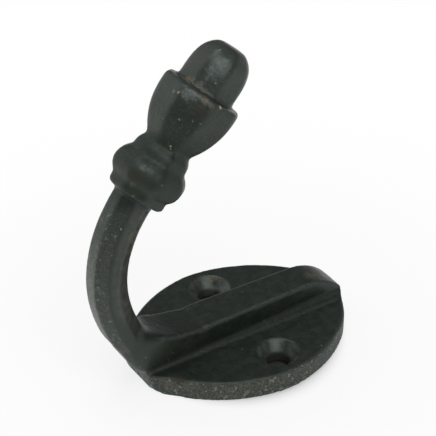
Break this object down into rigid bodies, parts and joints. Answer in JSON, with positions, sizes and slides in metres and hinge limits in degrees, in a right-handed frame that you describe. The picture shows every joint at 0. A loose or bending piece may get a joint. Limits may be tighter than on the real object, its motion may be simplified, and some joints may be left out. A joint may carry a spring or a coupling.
{
  "type": "coat hook",
  "caption": "Cast iron coat hook with a ribbed almond-shaped wall plate, an eight-sided curved arm and an acorn-like knob at its end.",
  "frame": {"origin": "middle of the plate's back face", "axes": "+Z out of the wall, +Y up the wall along the rib, X across the plate; the hook lies on its back"},
  "size_m": [0.04, 0.0602, 0.0737],
  "materials": {
    "cast_iron": "satin, blackened, lightly rusted"
  },
  "bodies": {
    "root": {"coat_hook": "cast_iron"}
  },
  "joints": []
}
